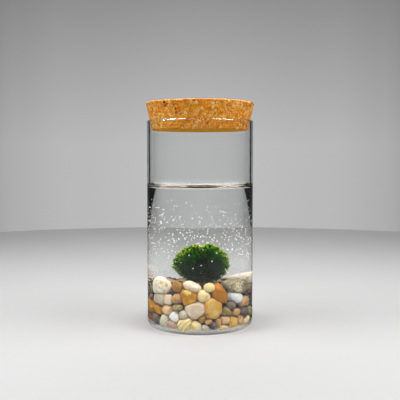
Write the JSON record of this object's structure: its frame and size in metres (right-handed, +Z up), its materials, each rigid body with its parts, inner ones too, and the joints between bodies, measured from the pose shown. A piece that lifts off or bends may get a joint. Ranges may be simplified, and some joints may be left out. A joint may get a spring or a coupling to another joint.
{
  "type": "marimo moss ball in corked glass jar",
  "caption": "Round moss ball resting on mixed gravel in a water-filled cylindrical glass jar closed by a tapered cork stopper.",
  "frame": {"origin": "centre of the jar's flat underside", "axes": "+Z up along the jar's axis, front at -Y"},
  "size_m": [0.0814, 0.0814, 0.1686],
  "materials": {
    "clear_glass": "clear, polished",
    "cork": "pressed cork granules with dark pits, dull",
    "water": "clear still water",
    "moss": "dense soft green threads",
    "small_gravel": "mixed small rounded gravel, wet",
    "stone_chalk": "chalky white with ochre flecks, dull, wet",
    "stone_rust": "red-orange ironstone, dull, wet",
    "stone_pink": "pinkish cream, smooth, wet",
    "stone_cream": "cream limestone, smooth, wet",
    "stone_caramel": "caramel brown, satin, wet",
    "stone_greygreen": "grey-green quartzite, slightly see-through look, wet",
    "stone_quartz": "milky white quartz, glossy, wet",
    "stone_grey": "light grey, dull, wet",
    "stone_tan": "tan brown, dull, wet",
    "stone_ochre": "golden ochre, satin, wet",
    "stone_slate": "dark purple-grey slate, dull, wet",
    "stone_peach": "peach, smooth, wet",
    "stone_olive": "olive brown, dull, wet",
    "stone_beige": "beige with a pale rim, smooth, wet",
    "stone_yellow": "yellow cream with rust-stained pits, wet",
    "stone_mint": "greenish white with brown veins, wet",
    "stone_rose": "pinkish brown with faint rings, wet",
    "stone_striped": "cream with yellow bands, wet"
  },
  "bodies": {
    "root": {"cork_stopper": "cork", "glass_jar": "clear_glass", "gravel_fill": "small_gravel", "moss_ball": "moss", "stone_01_chalk": "stone_chalk", "stone_02_rust": "stone_rust", "stone_03_pink": "stone_pink", "stone_04_cream": "stone_cream", "stone_05_caramel": "stone_caramel", "stone_06_greygreen": "stone_greygreen", "stone_07_quartz": "stone_quartz", "stone_08_grey": "stone_grey", "stone_09_pink": "stone_pink", "stone_10_tan": "stone_tan", "stone_11_ochre": "stone_ochre", "stone_12_cream": "stone_cream", "stone_13_slate": "stone_slate", "stone_14_tan": "stone_tan", "stone_15_ochre": "stone_ochre", "stone_16_peach": "stone_peach", "stone_17_olive": "stone_olive", "stone_18_beige": "stone_beige", "stone_19_yellow": "stone_yellow", "stone_20_olive": "stone_olive", "stone_21_tan": "stone_tan", "stone_22_slate": "stone_slate", "stone_23_quartz": "stone_quartz", "stone_24_grey": "stone_grey", "stone_25_mint": "stone_mint", "stone_26_slate": "stone_slate", "stone_27_rose": "stone_rose", "stone_28_striped": "stone_striped", "stone_29_cream": "stone_cream", "stone_30_rust": "stone_rust", "stone_31_grey": "stone_grey", "stone_32_tan": "stone_tan", "stone_33_slate": "stone_slate", "stone_34_tan": "stone_tan", "stone_35_cream": "stone_cream", "stone_36_peach": "stone_peach", "stone_37_yellow": "stone_yellow", "stone_38_tan": "stone_tan", "stone_39_cream": "stone_cream", "stone_40_olive": "stone_olive", "stone_41_pink": "stone_pink", "stone_42_cream": "stone_cream", "stone_43_olive": "stone_olive", "stone_44_slate": "stone_slate", "stone_45_grey": "stone_grey", "stone_46_olive": "stone_olive", "stone_47_slate": "stone_slate", "stone_48_grey": "stone_grey", "stone_49_chalk": "stone_chalk", "stone_50_ochre": "stone_ochre", "stone_51_grey": "stone_grey", "stone_52_chalk": "stone_chalk", "stone_53_ochre": "stone_ochre", "stone_54_tan": "stone_tan", "stone_55_pink": "stone_pink", "water": "water"}
  },
  "joints": []
}
